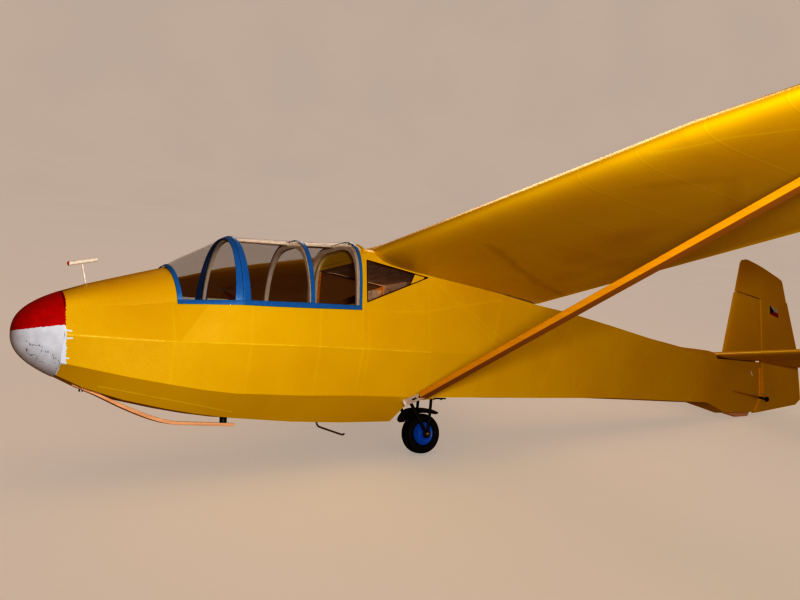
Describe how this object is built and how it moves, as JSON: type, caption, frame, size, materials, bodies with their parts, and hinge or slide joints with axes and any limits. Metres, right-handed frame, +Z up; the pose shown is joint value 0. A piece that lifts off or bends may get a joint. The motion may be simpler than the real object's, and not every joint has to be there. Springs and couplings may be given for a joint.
{
  "type": "strut-braced training glider, flying model",
  "caption": "Flying model of a strut-braced training glider: yellow film, red and white nose, blue-framed canopy, wheel and nose skid, parked leaning on a wing tip.",
  "frame": {"origin": "middle of the base of the box around the glider as it stands on the floor", "axes": "+X to port across the wings, +Y towards the tail, +Z up from the floor; the glider leans 15.2 degrees onto its starboard wing tip and sits 4.5 degrees tail down"},
  "size_m": [2.167, 1.2836, 0.5985],
  "materials": {
    "film_yellow": "shrunk covering film, satin",
    "cap_paint": "painted red above and white below",
    "frame_blue": "blue trim film",
    "clear_sheet": "clear plastic sheet",
    "pale_wood": "bare pine",
    "plywood": "bare plywood",
    "rubber": "smooth black rubber tyre",
    "rubber_block": "black rubber",
    "hub_blue": "blue moulded plastic",
    "steel": "bright steel wire",
    "black_steel": "black painted steel",
    "aluminium": "bare sheet aluminium",
    "black_plastic": "black moulded plastic",
    "white_plastic": "white painted rod"
  },
  "bodies": {
    "glider": {"nose_cap": "cap_paint", "cockpit_tub": "film_yellow", "belly": "film_yellow", "centre_body": "film_yellow", "wing_saddle": "film_yellow", "tail_boom": "film_yellow", "cockpit_floor": "plywood", "rear_bulkhead": "film_yellow", "windshield_sheet": "clear_sheet", "windshield_frame": "frame_blue", "lid_hinge_front": "steel", "lid_hinge_rear": "steel", "side_window_left": "clear_sheet", "side_window_right": "clear_sheet", "wing_left": "film_yellow", "wing_right": "film_yellow", "strut_left": "film_yellow", "strut_right": "film_yellow", "strut_foot_left": "aluminium", "strut_foot_right": "aluminium", "strut_head_left": "aluminium", "strut_head_right": "aluminium", "gear_legs_left": "black_steel", "gear_legs_right": "black_steel", "mudguard": "black_steel", "axle": "steel", "skid": "pale_wood", "skid_block": "rubber_block", "skid_screw": "steel", "tow_hook": "steel", "pitot_post": "white_plastic", "pitot_tube": "white_plastic", "fin": "film_yellow", "tailplane": "film_yellow", "tail_skid": "pale_wood", "control_sleeve": "white_plastic"},
    "wheel": {"tyre": "rubber", "wheel_hub": "hub_blue"},
    "canopy_lid": {"lid_sheet": "clear_sheet", "lid_frame": "frame_blue", "former_front": "plywood", "former_middle": "plywood", "former_rear": "plywood", "roof_strip_front": "plywood", "roof_strip_rear": "plywood"},
    "rudder": {"rudder": "film_yellow", "rudder_horn": "black_plastic"},
    "rudder_pushrod": {"rudder_pushrod": "black_plastic"},
    "elevator": {"elevator_left": "film_yellow", "elevator_right": "film_yellow", "elevator_joiner": "steel"},
    "aileron_left": {"aileron_left": "film_yellow"},
    "aileron_right": {"aileron_right": "film_yellow"}
  },
  "joints": [
    {"name": "wheel_spin", "type": "hinge", "parent": "glider", "child": "wheel", "pos_m": [0.07527, -0.17342, 0.02403], "axis": [0.9652, 0.0206, 0.2609], "continuous": true},
    {"name": "canopy_opens", "type": "hinge", "parent": "glider", "child": "canopy_lid", "pos_m": [-0.02488, -0.36047, 0.15751], "axis": [0, -0.9969, 0.0789], "range_deg": [0, 95]},
    {"name": "rudder_turns", "type": "hinge", "parent": "glider", "child": "rudder", "pos_m": [0.04245, 0.53794, 0.08915], "axis": [-0.2617, 0.0761, 0.9621], "range_deg": [-25, 25]},
    {"name": "rudder_pushrod_slides", "type": "slide", "parent": "glider", "child": "rudder_pushrod", "axis": [0.0607, 0.9803, -0.188], "range_m": [-0.0055, 0.0055]},
    {"name": "elevator_turns", "type": "hinge", "parent": "glider", "child": "elevator", "pos_m": [0.0423, 0.52004, 0.09115], "axis": [0.9652, 0.0206, 0.2609], "range_deg": [-8, 32]},
    {"name": "aileron_left_turns", "type": "hinge", "parent": "glider", "child": "aileron_left", "pos_m": [0.59221, -0.06353, 0.40997], "axis": [0.9373, -0.0315, 0.3472], "range_deg": [-18, 18]},
    {"name": "aileron_right_turns", "type": "hinge", "parent": "glider", "child": "aileron_right", "pos_m": [-0.5696, -0.08837, 0.09595], "axis": [0.9825, 0.0725, 0.1717], "range_deg": [-18, 18]}
  ],
  "couplings": [
    {"joint": "rudder_pushrod_slides", "follows": "rudder_turns", "m_per_rad": 0.0125},
    {"joint": "aileron_right_turns", "follows": "aileron_left_turns", "ratio": -1}
  ]
}
